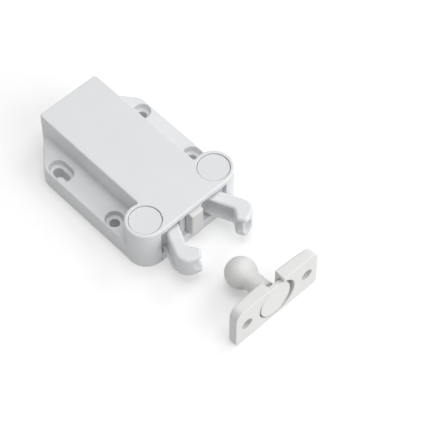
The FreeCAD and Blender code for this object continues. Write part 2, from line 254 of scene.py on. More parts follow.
def mesh_object(name, verts, faces):
    mesh = bpy.data.meshes.new(name)
    mesh.from_pydata(verts, [], faces)
    return link_object(name, mesh)


def inset_directions(outline):
    directions = []
    for i, here in enumerate(outline):
        before, after = Vector(outline[i - 1]), Vector(outline[(i + 1) % len(outline)])
        a = (Vector(here) - before).normalized()
        b = (after - Vector(here)).normalized()
        inward = Vector((-a.y - b.y, a.x + b.x))
        directions.append(inward / (1 + a.dot(b)))
    return directions


def edge_profile(low, high, round_low, round_high):
    quarter = [math.pi / 2 * i / round_steps for i in range(round_steps + 1)]
    rows = [(round_low * (1 - math.sin(a)), low + round_low * (1 - math.cos(a))) for a in quarter]
    if round_low == 0:
        rows = [(0, low)]
    if round_high == 0:
        return rows + [(0, high)]
    rise = abs(round_high)
    rows += [(round_high * (1 - math.cos(a)), high - rise + rise * math.sin(a)) for a in quarter]
    return rows + [(round_high, high + over)] if round_high < 0 else rows


def clean_outline(points):
    kept = [p for i, p in enumerate(points) if math.dist(p, points[i - 1]) > same_point]
    area = sum(x0 * y1 - x1 * y0 for (x0, y0), (x1, y1) in zip(kept, kept[1:] + kept[:1]))
    return kept if area > 0 else kept[::-1]


def soft_prism(name, points, low, high, round_low=0.0, round_high=0.0):
    outline = clean_outline(points)
    inward = inset_directions(outline)
    count = len(outline)
    rows = edge_profile(low, high, round_low, round_high)
    verts = []
    for inset, z in rows:
        verts += [(x + d.x * inset, y + d.y * inset, z) for (x, y), d in zip(outline, inward)]
    faces = [tuple(reversed(range(count))), tuple(range(len(verts) - count, len(verts)))]
    for row in range(len(rows) - 1):
        for i in range(count):
            a, b = row * count + i, row * count + (i + 1) % count
            faces.append((a, b, b + count, a + count))
    return mesh_object(name, verts, faces)


def block(name, x, y, z):
    return soft_prism(name, [(x[0], y[0]), (x[1], y[0]), (x[1], y[1]), (x[0], y[1])], *z)


print("rows of a soft edge:", len(edge_profile(0, 10, 0.3, 0.9)))

# %% [markdown]
# Spinning profiles
# Drums, bores, balls and the stud are round about an axis. Blender's own cylinder and sphere would do for
# some of them, but not for the stud or a drum with a soft rim. A spin of one profile makes all of them in the
# same way, closed at both ends, and a turn then lays it along any direction.

# %% Spun solids
def spun(name, profile, x=0.0, y=0.0, steps=96):
    verts, rings, faces = [], [], []
    for r, h in profile:
        turns = [2 * math.pi * i / steps for i in range(steps if r > 0 else 1)]
        rings.append(range(len(verts), len(verts) + len(turns)))
        verts += [(x + r * math.cos(a), y + r * math.sin(a), h) for a in turns]
    for low, high in zip(rings, rings[1:]):
        for i in range(steps):
            lower = [low[i % len(low)], low[(i + 1) % len(low)]]
            upper = [high[(i + 1) % len(high)], high[i % len(high)]]
            faces.append(list(dict.fromkeys(lower + upper)))
    return mesh_object(name, verts, faces)


def drum(name, x, y, r, z):
    return spun(name, [(0, z[0]), (r, z[0]), (r, z[1]), (0, z[1])], x, y)


def along(obj, start, direction):
    turn = Vector((0, 0, 1)).rotation_difference(Vector(direction)).to_matrix().to_4x4()
    obj.data.transform(Matrix.Translation(start) @ turn)
    return obj


def ball(name, x, y, z, r, steps=32):
    turns = [math.pi * i / steps for i in range(1, steps)]
    line = [(0, -r)] + [(r * math.sin(a), -r * math.cos(a)) for a in turns] + [(0, r)]
    return along(spun(name, line), (x, y, z), (0, 1, 0))


print("spin tools ready")

# %% [markdown]
# Joining and cutting
# Boolean modifiers join the raised shapes and then cut the hollows out of them. Modelling the joined surface
# by hand would give fewer faces, but every size would then be fixed. Closed shapes going in should give a
# closed shape coming out, so the open edges of each piece are counted.

# %% Boolean tools
def plain_mesh(obj):
    graph = bpy.context.evaluated_depsgraph_get()
    mesh = bpy.data.meshes.new_from_object(obj.evaluated_get(graph))
    obj.modifiers.clear()
    obj.data = mesh


def combined(obj, others, operation):
    for other in others:
        step = obj.modifiers.new(operation.lower(), "BOOLEAN")
        step.operation = operation
        step.solver = "MANIFOLD"
        step.object = other
    plain_mesh(obj)
    for other in others:
        bpy.data.objects.remove(other)
    return obj


def open_edges(mesh):
    uses = {}
    for polygon in mesh.polygons:
        for key in polygon.edge_keys:
            uses[key] = uses.get(key, 0) + 1
    return sum(1 for count in uses.values() if count != 2)


print("joining tools ready")

# %% [markdown]
# Shading and seating
# A moulding has smooth curves and flat faces side by side. The sharp-edge limit tells real edges from the
# facets of a curve, and weighted normals keep the large flats flat right up to their rounds. Seating then
# puts a piece on its body and hides the solid it stands for.

# %% Finishing tools
node_slot = {s["node"]: s["material_slot"] for s in frame["record"]["subparts"]}
node_body = {n: b for b, ns in frame["record"]["behaviour"]["bodies"].items() for n in ns}
smooth_limit, wire_limit, flat_weight = math.radians(32), math.radians(50), 90


def shade_smooth(obj, limit):
    obj.data.polygons.foreach_set("use_smooth", [True] * len(obj.data.polygons))
    obj.data.set_sharp_from_angle(angle=limit)


def seated(obj, node):
    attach(obj, node_body[node])
    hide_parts(node)
    print(obj.name, len(obj.data.polygons), "faces, open edges:", open_edges(obj.data))


def dressed(obj, node, name):
    obj.name = name
    obj.data.transform(Matrix.Scale(mm, 4))
    shade_smooth(obj, smooth_limit)
    weigh = obj.modifiers.new("flats_stay_flat", "WEIGHTED_NORMAL")
    weigh.keep_sharp = True
    weigh.weight = flat_weight
    plain_mesh(obj)
    obj.data.materials.clear()
    obj.data.materials.append(finishes[node_slot[node]])
    seated(obj, node)


print("bodies of the nodes:", node_body)

# %% [markdown]
# The housing
# The housing is one moulding: a tall block that runs into two round bosses at the front, on a low flange
# with the fixing holes. It could be joined from a box and two drums, but the real one has a small hollow
# round where each boss meets the block's side wall. So the whole upper part is one outline, and the centre
# of that round lies one boss radius plus its own radius from the pivot. The places of the pivots come from
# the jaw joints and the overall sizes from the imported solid.

# %% Housing sizes
def in_mm(vector):
    return [round(v / mm, 4) for v in vector]


joints = {j["name"]: j for j in frame["joints"]}
shell_low, shell_high = (in_mm(corner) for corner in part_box("housing"))
pivot_x, pivot_y = in_mm(joints["right_jaw_swing"]["pos_m"])[:2]
front, back, top = shell_low[1], shell_high[1], shell_high[2]
block_half, wall, roof, boss_wall, rear_corner_r = 15.0, 2.0, 2.5, 1.5, 1.2
boss_r = shell_high[0] - pivot_x
window_r = boss_r - boss_wall
flange_top, flange_edge, flange_slope, flange_corner_r, flange_step = 9.5, 26.35, 49.3, 8.0, 1.35
lap, flange_lap = 1.0, 1.16
top_round, flange_round, rim_round, foot_round, hole_round = 0.65, 0.6, 0.3, 0.25, 0.2
root_r, nook_r, boss_step = 1.2, 0.8, 4
print("pivot", pivot_x, pivot_y, "boss", boss_r, "back", back)

# %% Housing outlines
def upper_outline():
    nook_x = block_half + nook_r
    nook_y = pivot_y + math.sqrt((boss_r + nook_r) ** 2 - (nook_x - pivot_x) ** 2)
    meeting = math.degrees(math.atan2(nook_y - pivot_y, nook_x - pivot_x))
    half = arc(pivot_x, pivot_y, boss_r, -90, meeting, boss_step)
    half += arc(nook_x, nook_y, nook_r, meeting - 180, -180)
    half += arc(block_half - rear_corner_r, back - rear_corner_r, rear_corner_r, 0, 90)
    return mirrored(half)


def flange_outline():
    tip = back - flange_step
    shoulder = tip - (flange_edge - block_half) * math.tan(math.radians(flange_slope))
    half = [(flange_edge, pivot_y, 0), (flange_edge, shoulder, flange_corner_r)]
    half.append((block_half - lap, tip + flange_lap, 0))
    return rounded_polygon(mirrored(half))


print("upper outline:", len(upper_outline()), "points; flange:", len(flange_outline()))

# %% Housing body
lying_along_y = Matrix(((1, 0, 0, 0), (0, 0, 1, 0), (0, 1, 0, 0), (0, 0, 0, 1)))
housing = soft_prism("upper", upper_outline(), 0, top, foot_round, top_round)
body_parts = [soft_prism("flange", flange_outline(), 0, flange_top, foot_round, flange_round)]
for s in (-1, 1):
    root = [(block_half - lap, flange_top - lap), (block_half + root_r, flange_top - lap)]
    root += arc(block_half + root_r, flange_top + root_r, root_r, -90, -180)
    root.append((block_half - lap, flange_top + root_r))
    strip = soft_prism("root", [(s * x, z) for x, z in root], pivot_y, back - flange_step - 2 * root_r)
    strip.data.transform(lying_along_y)
    strip.data.flip_normals()
    body_parts.append(strip)
combined(housing, body_parts, "UNION")
print("housing body:", len(housing.data.polygons), "faces")

# %% [markdown]
# Cutting the housing
# A moulding is a shell, so the cavity, the wide mouth for the jaws and the rebate of the cover are plain
# boxes cut from below. The pivot windows and the recesses of the fixing holes have softened rims. A bevel
# after the cut would catch the neighbouring edges too, so they are cut with flared tools instead. The round
# holes lie on one diagonal and the slots for adjustment on the other.

# %% Housing cuts
screw_x, screw_y, screw_r, recess_r, recess_floor, slot_run = 21.8, 16.0, 2.15, 3.8, 6.3, 4.0
mouth_inset, cover_rebate, cover_t = 0.75, 0.6, 2.0
cavity, inner_back, inner_top = block_half - wall, back - wall, top - roof
mouth_half, rebate = pivot_x - mouth_inset, cavity + cover_rebate
cuts = [block("cavity", (-cavity, cavity), (front - over, inner_back), (-over, inner_top))]
cuts.append(block("mouth", (-mouth_half, mouth_half), (front - over, pivot_y), (-over, inner_top)))
rebate_y = (pivot_y + boss_r, inner_back + cover_rebate)
cuts.append(block("rebate", (-rebate, rebate), rebate_y, (-over, cover_t)))
for sx in (-1, 1):
    window = arc(sx * pivot_x, pivot_y, window_r, 0, 360, boss_step)[:-1]
    cuts.append(soft_prism("window", window, -over, top, 0, -rim_round))
    for sy in (-1, 1):
        run = 0.0 if sx == sy else slot_run
        x, y = sx * screw_x, sy * screw_y
        hole, recess = stadium(x, y, screw_r, run), stadium(x, y, recess_r, run)
        cuts.append(soft_prism("hole", hole, -over, recess_floor, 0, -hole_round))
        cuts.append(soft_prism("recess", recess, recess_floor, flange_top, foot_round, -rim_round))
    round_end = screw_y - recess_r - wall
    slot_end = round_end - slot_run / 2
    relief_x = sorted((sx * block_half, sx * (flange_edge - wall)))
    relief_y = (-round_end, slot_end) if sx < 0 else (-slot_end, round_end)
    cuts.append(block("relief", relief_x, relief_y, (-over, flange_top - wall)))
combined(housing, cuts, "DIFFERENCE")
print("housing with its hollows:", len(housing.data.polygons), "faces")

# %% [markdown]
# Inside the housing
# Two things hold the inner parts: a stub for the rear end of each spring, and four blind pockets in the side
# walls, where the snap tongues of the cover catch. They are out of sight and could be left out, but the mesh
# stands for the whole moulding, so it has them too.

# %% Stubs and pockets
rod_r, rod_z, rod_x, stub_length = 1.5, 7.0, 8.4, 2.5
tongue_y, tongue_z = (pivot_y + 41.97, back - 8.8), (7.7, 9.9)
tongue_reach, tongue_depth = 2.4, 0.7


def rod(name, x, y0, y1):
    return along(drum(name, 0, 0, rod_r, (0, y1 - y0)), (x, y0, rod_z), (0, 1, 0))


pockets = []
for s in (-1, 1):
    pocket_x = sorted((s * (cavity - over), s * (cavity + tongue_depth)))
    pockets += [block("pocket", pocket_x, (y - tongue_reach, y + tongue_reach), tongue_z) for y in tongue_y]
combined(housing, pockets, "DIFFERENCE")
stubs = [rod("stub", s * rod_x, inner_back - stub_length, back - wall / 2) for s in (-1, 1)]
combined(housing, stubs, "UNION")
dressed(housing, "housing", "housing_moulding")

# %% [markdown]
# The jaws
# Each jaw is a drum that turns in its window, an arm that leaves it at an angle and a hook bent inwards. The
# outline is drawn along the arm, with t counted from the pivot and n across towards the middle, and then
# turned into place, because the arm's own sizes are easier to read that way than slanted ones. A low ledge
# runs round the outer side and widens towards its root. Inside the housing, a lug with a pin follows the
# slider.

# %% Jaw sizes
splay, shut_angle = math.radians(24.5), 20.0
jaw_low, jaw_high = (in_mm(corner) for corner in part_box("left_jaw"))
drum_floor, drum_top, drum_gap = jaw_low[2], jaw_high[2], 0.2
drum_r = window_r - drum_gap
arm_low, arm_high, arm_outer, arm_inner, arm_root, arm_length = 6.2, 16.9, 6.7, 12.5, 2.6, 13.8
hook_back, hook_front, hook_tip, tip_slant = 16.4, 21.1, 17.05, 0.5
elbow_r, tip_r, front_r, heel_r, arm_foot, jaw_round = 2.2, 1.45, 3.0, 5.2, 0.2, 1.3
ledge_w, ledge_h, ledge_fade, ledge_flare, ledge_join, ledge_round = 1.1, 1.3, 2.2, 1.4, 11.0, 0.2
flare_r, ledge_heel_r, ledge_tip_r = 8.0, 4.0, 0.6
lug_top, lug_r, pin_r, pin_foot, pin_drop, drive_r = 11.0, 2.6, 1.5, 2.0, 0.8, 12.0
print("jaw from", jaw_low, "to", jaw_high)

# %% Jaw outlines
def arm_xy(t, n):
    return (-pivot_x + n * math.cos(splay) - t * math.sin(splay),
            pivot_y - t * math.cos(splay) - n * math.sin(splay))


def hook_outline():
    corners = [(arm_root, arm_inner, 0), (arm_length, arm_inner, elbow_r), (hook_back, hook_tip, tip_r)]
    corners += [(hook_front - tip_slant, hook_tip - tip_slant, tip_r), (hook_front, arm_inner, front_r)]
    corners += [(hook_front, arm_outer, heel_r), (arm_root, arm_outer, 0)]
    return rounded_polygon([(*arm_xy(t, n), r) for t, n, r in corners])


def ledge_outline():
    outer, inner = arm_outer - ledge_w, arm_outer + ledge_fade
    corners = [(arm_root, inner, 0), (arm_root, outer - ledge_flare, 0), (ledge_join, outer, flare_r)]
    corners.append((hook_front - heel_r, outer, ledge_heel_r))
    corners.append((hook_front - ledge_fade / 2, inner, ledge_tip_r))
    return rounded_polygon([(*arm_xy(t, n), r) for t, n, r in corners])


print("hook outline:", len(hook_outline()), "points; ledge:", len(ledge_outline()))

# %% [markdown]
# Joining a jaw
# Two webs tie the drum, the arm and the lug together, one at the height of the lug and one above it. One tall
# web would be simpler, but the slider's crosshead moves above the lug, so the upper web is narrower at the
# back. Faces that lie in one plane are what upsets a boolean most, so each part stands a few hundredths of a
# millimetre from its neighbour's face.

# %% Jaw body
nudge, skin, web_back, web_front, web_t = 0.02, 0.05, -3.0, 5.2, 1.3
near_inner, near_outer = arm_inner - 2 * skin, arm_outer + 2 * skin


def about_pivot(obj, degrees):
    pivot = Matrix.Translation((-pivot_x, pivot_y, 0))
    obj.data.transform(pivot @ Matrix.Rotation(math.radians(degrees), 4, "Z") @ pivot.inverted())
    return obj


def drum_profile():
    rim = [(drum_r - rim_round * (1 - math.cos(a)), drum_top - rim_round * (1 - math.sin(a)))
           for a in (math.pi / 2 * i / round_steps for i in range(round_steps + 1))]
    return [(0, drum_floor), (drum_r, drum_floor)] + rim + [(0, drum_top)]


def web(name, inner, low, high):
    corners = [(web_back, 0), *inner, (web_front, near_outer), (arm_root, 0)]
    return soft_prism(name, [arm_xy(t, n) for t, n in corners], low, high)


def jaw_body():
    jaw = spun("drum", drum_profile(), -pivot_x, pivot_y)
    parts = [soft_prism("arm", hook_outline(), arm_low, arm_high, arm_foot, jaw_round)]
    ledge_z = (arm_low + nudge, arm_low + ledge_h)
    parts.append(soft_prism("ledge", ledge_outline(), *ledge_z, ledge_round, ledge_round))
    upper = [(web_back, drum_r + skin), (arm_root, near_inner), (web_front, near_inner)]
    parts.append(web("upper_web", upper, lug_top - web_t, arm_high - skin))
    lower = [(web_back, arm_inner), (arm_root, near_inner)]
    parts.append(web("lower_web", lower, arm_low + 2 * nudge, lug_top - nudge))
    lug = [(-pivot_x + drive_r / 2 - y, pivot_y + x) for x, y in stadium(0, 0, lug_r, drive_r)]
    parts.append(about_pivot(soft_prism("lug", lug, arm_low + 3 * nudge, lug_top), -shut_angle / 2))
    pin = drum("pin", -pivot_x + drive_r, pivot_y, pin_r, (lug_top - pin_foot, arm_high - pin_drop))
    parts.append(about_pivot(pin, -shut_angle / 2))
    return combined(jaw, parts, "UNION")


jaw = jaw_body()
print("jaw body:", len(jaw.data.polygons), "faces")

# %% [markdown]
# Cutting the jaws
# A long hollow eases the inner side of the arm. The hook has a seat for the ball and a notch for its neck.
# Both could be drawn on the slanted hook, but they are cut where the ball lies when the jaws are shut, and
# turned back with the jaw, so they are sure to fit. A scoop at the tip leads the ball in, and a shallow dot
# on the drum is the mark of the mould's gate. The right jaw is the left one's mirror image.

# %% Jaw cuts
ball_r, neck_r, seat_gap, neck_gap = 6.65, 4.2, 0.25, 0.4
scoop_r, scoop_out = 4.7, 1.6
channel_r, channel_depth, channel_rise, channel_start = 4.4, 2.8, 0.5, 0.5
bore_r, bore_top = 2.65, 12.4
mark_x, mark_y, mark_r, mark_depth = -0.35, 0.3, 0.55, 0.06
nose_y = in_mm(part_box("slider")[0])[1]
stroke = round(2 * drive_r * math.sin(math.radians(shut_angle / 2)), 4)
ball_shut_y = nose_y + stroke - ball_r
grip_z = (arm_low + arm_high) / 2

channel_n = arm_inner - channel_depth + channel_r
x0, y0 = arm_xy(channel_start, channel_n)
x1, y1 = arm_xy(arm_length, channel_n)
channel = along(drum("channel", 0, 0, channel_r, (0, arm_length - channel_start)),
                (x0, y0, grip_z + channel_rise), (x1 - x0, y1 - y0, 0))
seat = about_pivot(ball("seat", 0, ball_shut_y, grip_z, ball_r + seat_gap), -shut_angle)
notch = along(drum("notch", 0, 0, neck_r + neck_gap, (0, hook_front)), (0, ball_shut_y, grip_z), (0, -1, 0))
scoop = ball("scoop", *arm_xy(hook_front + scoop_out, hook_tip), grip_z, scoop_r)
bore = drum("bore", -pivot_x, pivot_y, bore_r, (0, bore_top))
mark = drum("mark", -pivot_x + mark_x, pivot_y + mark_y, mark_r, (drum_top - mark_depth, drum_top + over))
combined(jaw, [channel, seat, about_pivot(notch, -shut_angle), scoop, bore, mark], "DIFFERENCE")
right_jaw = link_object("right_jaw_moulding", jaw.data.copy())
right_jaw.data.transform(Matrix.Scale(-1, 4, (1, 0, 0)))
right_jaw.data.flip_normals()
dressed(jaw, "left_jaw", "left_jaw_moulding")
dressed(right_jaw, "right_jaw", "right_jaw_moulding")

# %% [markdown]
# The strike plate
# The plate is a rounded rectangle that stands on its long edge, flat towards the door and crowned towards
# the latch. A sweep along the crown's arc would lose the soft rim, so the plate is raised from its outline
# lying down, its depth is stretched most in the middle, and it is then stood up.

# %% Strike plate
plate_low, plate_high = (in_mm(corner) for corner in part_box("strike_plate"))
plate_x = (plate_low[0] + plate_high[0]) / 2
plate_y, plate_half = plate_low[1], (plate_high[0] - plate_low[0]) / 2
plate_h, crown = plate_high[2] - plate_low[2], 1.1
plate_full = plate_high[1] - plate_y
plate_end = plate_full - crown
corner_r, foot_r, door_round, latch_round, strip_w = 4.2, 2.0, 0.25, 0.8, 1.5


def stood_up(obj):
    obj.data.transform(Matrix(((-1, 0, 0, plate_x), (0, 0, 1, plate_y), (0, 1, 0, 0), (0, 0, 0, 1))))
    return obj


def runs_split(outline, longest):
    points = []
    for (x0, y0), (x1, y1) in zip(outline, outline[1:] + outline[:1]):
        parts = max(1, math.ceil(math.hypot(x1 - x0, y1 - y0) / longest))
        points += [(x0 + (x1 - x0) * i / parts, y0 + (y1 - y0) * i / parts) for i in range(parts)]
    return points


def plate_outline():
    right = arc(plate_half - foot_r, foot_r, foot_r, -90, 0)
    right += arc(plate_half - corner_r, plate_h - corner_r, corner_r, 0, 90)
    return runs_split(mirrored(right), strip_w)


plate = soft_prism("plate", plate_outline(), 0, plate_end, door_round, latch_round)
for vertex in plate.data.vertices:
    vertex.co.z *= 1 + crown / plate_end * (1 - (vertex.co.x / plate_half) ** 2)
stood_up(plate)
print("plate", plate_low, plate_high)

# %% [markdown]
# The crowned face
# After the stretch, the plate's large face is one polygon that is no longer flat, and a boolean could fold
# it anywhere. It is therefore taken out and filled again with upright strips, one for each step of the
# crown.

# %% Crowned cap
def strip_cap(obj):
    work = bmesh.new()
    work.from_mesh(obj.data)
    cap = max(work.faces, key=lambda f: f.calc_center_median().y)
    rim = sorted(cap.verts, key=lambda v: (round(v.co.x, 3), v.co.z))
    bmesh.ops.delete(work, geom=[cap], context="FACES_ONLY")
    columns = {}
    for v in rim:
        columns.setdefault(round(v.co.x, 3), []).append(v)
    pairs = [(columns[x][0], columns[x][-1]) for x in sorted(columns)]
    for (a, b), (c, d) in zip(pairs, pairs[1:]):
        corners = list(dict.fromkeys([a, b, d, c]))
        if len(corners) > 2:
            work.faces.new(corners)
    for column in columns.values():
        if len(column) > 2:
            work.faces.new(column)
    bmesh.ops.recalc_face_normals(work, faces=work.faces)
    work.to_mesh(obj.data)
    work.free()


strip_cap(plate)
print("plate with its strips:", len(plate.data.polygons), "faces")

# %% [markdown]
# Cutting the strike plate
# A round pocket in the door side takes the stud's disc, and a slot open to the top lets the stud in. The slot
# has a soft lip, so its cutter is flared like those of the housing. The two fixing holes are counterbored.

# %% Strike cuts
gate_r, gate_lip, lip_step, stud_z = 3.5, 0.4, 15, 9.6
pocket_r, pocket_wall = 9.4, 1.5
plate_screw_x, plate_hole_r, head_r, head_depth = 16.0, 2.7, 4.25, 2.0
cuts = [stood_up(drum("pocket", 0, plate_h / 2, pocket_r, (-over, plate_full - pocket_wall)))]
gate = arc(0, stud_z, gate_r, 270, 360)
gate += arc(gate_r + gate_lip, plate_h - gate_lip, gate_lip, 180, 90, lip_step)
gate.append((gate_r + gate_lip, plate_h + 2 * over))
cuts.append(stood_up(soft_prism("gate", mirrored(gate), -2 * over, plate_full - 2 * nudge, 0, -gate_lip)))
for s in (-1, 1):
    screw_at = (s * plate_screw_x, plate_h / 2)
    cuts.append(stood_up(drum("screw", *screw_at, plate_hole_r, (-2 * over, plate_full + 2 * over))))
    cuts.append(stood_up(drum("head", *screw_at, head_r, (plate_end - head_depth, plate_full + 2 * over))))
combined(plate, cuts, "DIFFERENCE")
dressed(plate, "strike_plate", "strike_plate_moulding")

# %% [markdown]
# The ball stud
# On the real strike the ball and its stem are one turned-looking moulding with a thick disc at the foot. A
# ball joined to a cylinder would meet it in a hard ring. One outline from the disc to the tip, spun round
# its axis, gives the neck its hollow and the disc its soft rim. The stud is loose in its slot, so it leans
# and droops a little, and is tilted last.

# %% Ball stud
disc_r, disc_t, disc_sink, disc_round, disc_step = 8.2, 2.1, 0.6, 0.35, 18
waist_r, shoulder_gap, neck_hollow, hollow_step = 3.0, 0.4, 0.8, 9
ball_reach, ball_step, tip_flat, lean, droop = 18.96, 3, 0.25, 2.9, 3.0
disc_y = plate_y + disc_sink + disc_t / 2
shoulder_at = plate_high[1] + shoulder_gap - disc_y
ball_at = plate_y + ball_reach - disc_y


def stud_profile():
    foot = disc_t / 2
    rim_r, stem_r = disc_r - disc_round, neck_r - disc_round
    line = [(0, -foot)] + arc(rim_r, disc_round - foot, disc_round, -90, 0, disc_step)
    line += arc(rim_r, foot - disc_round, disc_round, 0, 90, disc_step)
    line += arc(waist_r + disc_round, foot + disc_round, disc_round, -90, -180, disc_step)
    line += [(waist_r, shoulder_at)] + arc(stem_r, shoulder_at + disc_round, disc_round, -90, 0, disc_step)
    across = neck_r + neck_hollow
    down = math.sqrt((ball_r + neck_hollow) ** 2 - across ** 2)
    slope = math.degrees(math.atan2(down, across))
    line += arc(across, ball_at - down, neck_hollow, 180, 180 - slope, hollow_step)
    line += arc(0, ball_at, ball_r, -slope, math.degrees(math.asin(1 - tip_flat / ball_r)), ball_step)
    return line + [(0, ball_at + ball_r - tip_flat)]


stud = spun("stud", stud_profile())
stud_x = in_mm(joints["stud_swivel"]["pos_m"])[0]
stud_place = Matrix.Translation((stud_x, disc_y, stud_z))
stud_turn = Matrix.Rotation(math.radians(lean), 4, "Z") @ Matrix.Rotation(math.radians(-90 - droop), 4, "X")
stud.data.transform(stud_place @ stud_turn)
dressed(stud, "ball_stud", "ball_stud_moulding")

# %% [markdown]
# The slider
# Only the slider's nose shows, a soft-edged block just under the lip. Behind it are the forked crosshead
# that takes the jaws' pins, a deck, two rails, a rod for each spring and the block with the heart-shaped
# groove. It could stay a CAD solid, but its nose is at the middle of the picture, so it is raised from
# soft outlines like the other mouldings.

# %% Slider sizes
gap, slide_gap, bearing_gap = 0.4, 0.3, 0.05
nose_half, nose_floor, nose_corner_r, nose_foot, nose_round = 3.15, 5.4, 0.8, 0.2, 0.6
nose_top = inner_top - gap
deck_low, deck_high, deck_half = lug_top + gap, arm_high - gap, cavity - slide_gap
cam_low, cam_half = 4.2, 5.4
deck_front, cam_front, shoulder_y = pivot_y + 9, pivot_y + 12, pivot_y + 30
shoulder_t, rail_w, rail_low, rod_length, fork_wall = 2.5, 2.0, cover_t + slide_gap, 12.0, 1.0
pin_x = pivot_x - drive_r * math.cos(math.radians(shut_angle / 2))
pin_y = pivot_y - drive_r * math.sin(math.radians(shut_angle / 2))
pin_room = pin_r + bearing_gap
fork_half, fork_inner = pin_x + pin_room, pivot_x - drive_r - pin_room
print("nose reaches", nose_y, "pins at", round(pin_x, 3), round(pin_y, 3))

# %% Slider
nose_corners = [(-nose_half, nose_y, nose_corner_r), (nose_half, nose_y, nose_corner_r)]
nose_corners += [(nose_half, cam_front, 0), (-nose_half, cam_front, 0)]
slider = soft_prism("nose", rounded_polygon(nose_corners), nose_floor, nose_top, nose_foot, nose_round)
fork_y, gate_y = (pin_y - pin_r - fork_wall, deck_front + lap), (pin_y - pin_room, pin_y + pin_room)
crosshead = block("crosshead", (-fork_half, fork_half), fork_y, (deck_low, deck_high))
gates = [block("gate", (s * fork_inner, s * (fork_half + over)), gate_y, (0, top)) for s in (-1, 1)]
combined(crosshead, gates, "DIFFERENCE")
parts = [crosshead, block("deck", (-deck_half, deck_half), (deck_front, shoulder_y), (deck_low, deck_high))]
shoulder_span = (shoulder_y - shoulder_t, shoulder_y)
parts.append(block("shoulder", (-deck_half, deck_half), shoulder_span, (cam_low, deck_high)))
parts.append(block("cam_block", (-cam_half, cam_half), (cam_front, shoulder_y), (cam_low, deck_high)))
for s in (-1, 1):
    rail_x = sorted((s * (deck_half - rail_w), s * deck_half))
    parts.append(block("rail", rail_x, (cam_front, shoulder_y), (rail_low, inner_top - slide_gap)))
    parts.append(rod("spring_rod", s * rod_x, shoulder_y - lap, shoulder_y + rod_length))
combined(slider, parts, "UNION")
print("slider body:", len(slider.data.polygons), "faces")

# %% [markdown]
# The heart-shaped groove
# Under the cam block runs the groove that holds the latch pushed in and lets it out at the next push. A
# smooth heart could be drawn as one long outline, but its width would be hard to keep even. So it is four
# straight lanes in the shape of a heart, each a slot outline turned to its own direction.

# %% Cam groove
lane_r, lane_depth, heart_half, heart_dip, finger_back = 0.75, 2.2, 2.6, 1.0, 6.0
finger_y = shoulder_y - finger_back
far_y = finger_y - stroke
heart = [(0, finger_y), (heart_half, far_y), (0, far_y + heart_dip), (-heart_half, far_y), (0, finger_y)]
lanes = []
for (x0, y0), (x1, y1) in zip(heart, heart[1:]):
    run = math.dist((x0, y0), (x1, y1))
    lane = soft_prism("lane", stadium(0, run / 2, lane_r, run), 0, cam_low + lane_depth)
    turn = Matrix.Rotation(math.atan2(y1 - y0, x1 - x0) - math.pi / 2, 4, "Z")
    lane.data.transform(Matrix.Translation((x0, y0, 0)) @ turn)
    lanes.append(lane)
combined(slider, lanes, "DIFFERENCE")
dressed(slider, "slider", "slider_moulding")

# %% [markdown]
# The base cover
# The cover closes the housing from below. It could be raised again like the rest, but only its sill and its
# nose guides show, in the shade of the mouth, and the solid is right as it is. So it stays and only takes
# the shell's plastic.

# %% Base cover
cover_mesh = frame["nodes"]["base_cover"].data
cover_mesh.materials.clear()
cover_mesh.materials.append(finishes["white_shell"])
print("base_cover takes", cover_mesh.materials[0].name)

# %% [markdown]
# Wire tools
# Two kinds of wire follow a path here, so they share the end of their node trees: a round section swept along
# a curve, with closed ends. A curve with a bevel would draw the same wire, but a tree keeps its sizes as
# inputs that can be set for each spring.

# %% Wire tools
wire_sides = 14


def named_inputs(tree, inputs):
    made = {}
    for name, kind in inputs.items():
        made[name] = tree.interface.new_socket(name=name, in_out="INPUT", socket_type="NodeSocket" + kind)
    tree.interface.new_socket(name="Geometry", in_out="OUTPUT", socket_type="NodeSocketGeometry")
    return {name: socket.identifier for name, socket in made.items()}


def swept_wire(tree, path, wire_radius, material):
    circle = tree.nodes.new("GeometryNodeCurvePrimitiveCircle")
    circle.inputs["Resolution"].default_value = wire_sides
    sweep = tree.nodes.new("GeometryNodeCurveToMesh")
    sweep.inputs["Fill Caps"].default_value = True
    real = tree.nodes.new("GeometryNodeRealizeInstances")
    coat = tree.nodes.new("GeometryNodeSetMaterial")
    out = tree.nodes.new("NodeGroupOutput")
    tree.links.new(wire_radius, circle.inputs["Radius"])
    tree.links.new(path, sweep.inputs["Curve"])
    tree.links.new(circle.outputs["Curve"], sweep.inputs["Profile Curve"])
    tree.links.new(sweep.outputs["Mesh"], real.inputs["Geometry"])
    tree.links.new(real.outputs["Geometry"], coat.inputs["Geometry"])
    tree.links.new(material, coat.inputs["Material"])
    tree.links.new(coat.outputs["Geometry"], out.inputs["Geometry"])


def grown(obj, tree, sockets, values):
    step = obj.modifiers.new(tree.name, "NODES")
    step.node_group = tree
    for name, value in values.items():
        step[sockets[name]] = value
    plain_mesh(obj)
    shade_smooth(obj, wire_limit)
    return obj


print("wire tools ready")

# %% [markdown]
# The springs
# Two compression springs push the slider out. A spring is a wire that follows a rule. A screw modifier could
# wind it at one pitch, but the closed ends of a real spring lie almost flat. So Geometry Nodes wind it: a
# straight curve is cut into many points, each point is moved to its place on the helix, and a float curve
# holds back the rise in the first and last turn.

# %% Spring tree
coil_turns, points_per_turn = 12, 24
end_share, end_rise = 0.1, 0.03


def math_node(tree, operation, first, second=None):
    node = tree.nodes.new("ShaderNodeMath")
    node.operation = operation
    for socket, value in zip(node.inputs, (first, second)):
        if isinstance(value, (int, float)):
            socket.default_value = value
        elif value is not None:
            tree.links.new(value, socket)
    return node.outputs[0]


def rise_curve(tree, share):
    rise = tree.nodes.new("ShaderNodeFloatCurve")
    points = rise.mapping.curves[0].points
    for x, y in ((end_share, end_rise), (1 - end_share, 1 - end_rise)):
        points.new(x, y).handle_type = "VECTOR"
    rise.mapping.update()
    tree.links.new(share, rise.inputs["Value"])
    return rise.outputs[0]


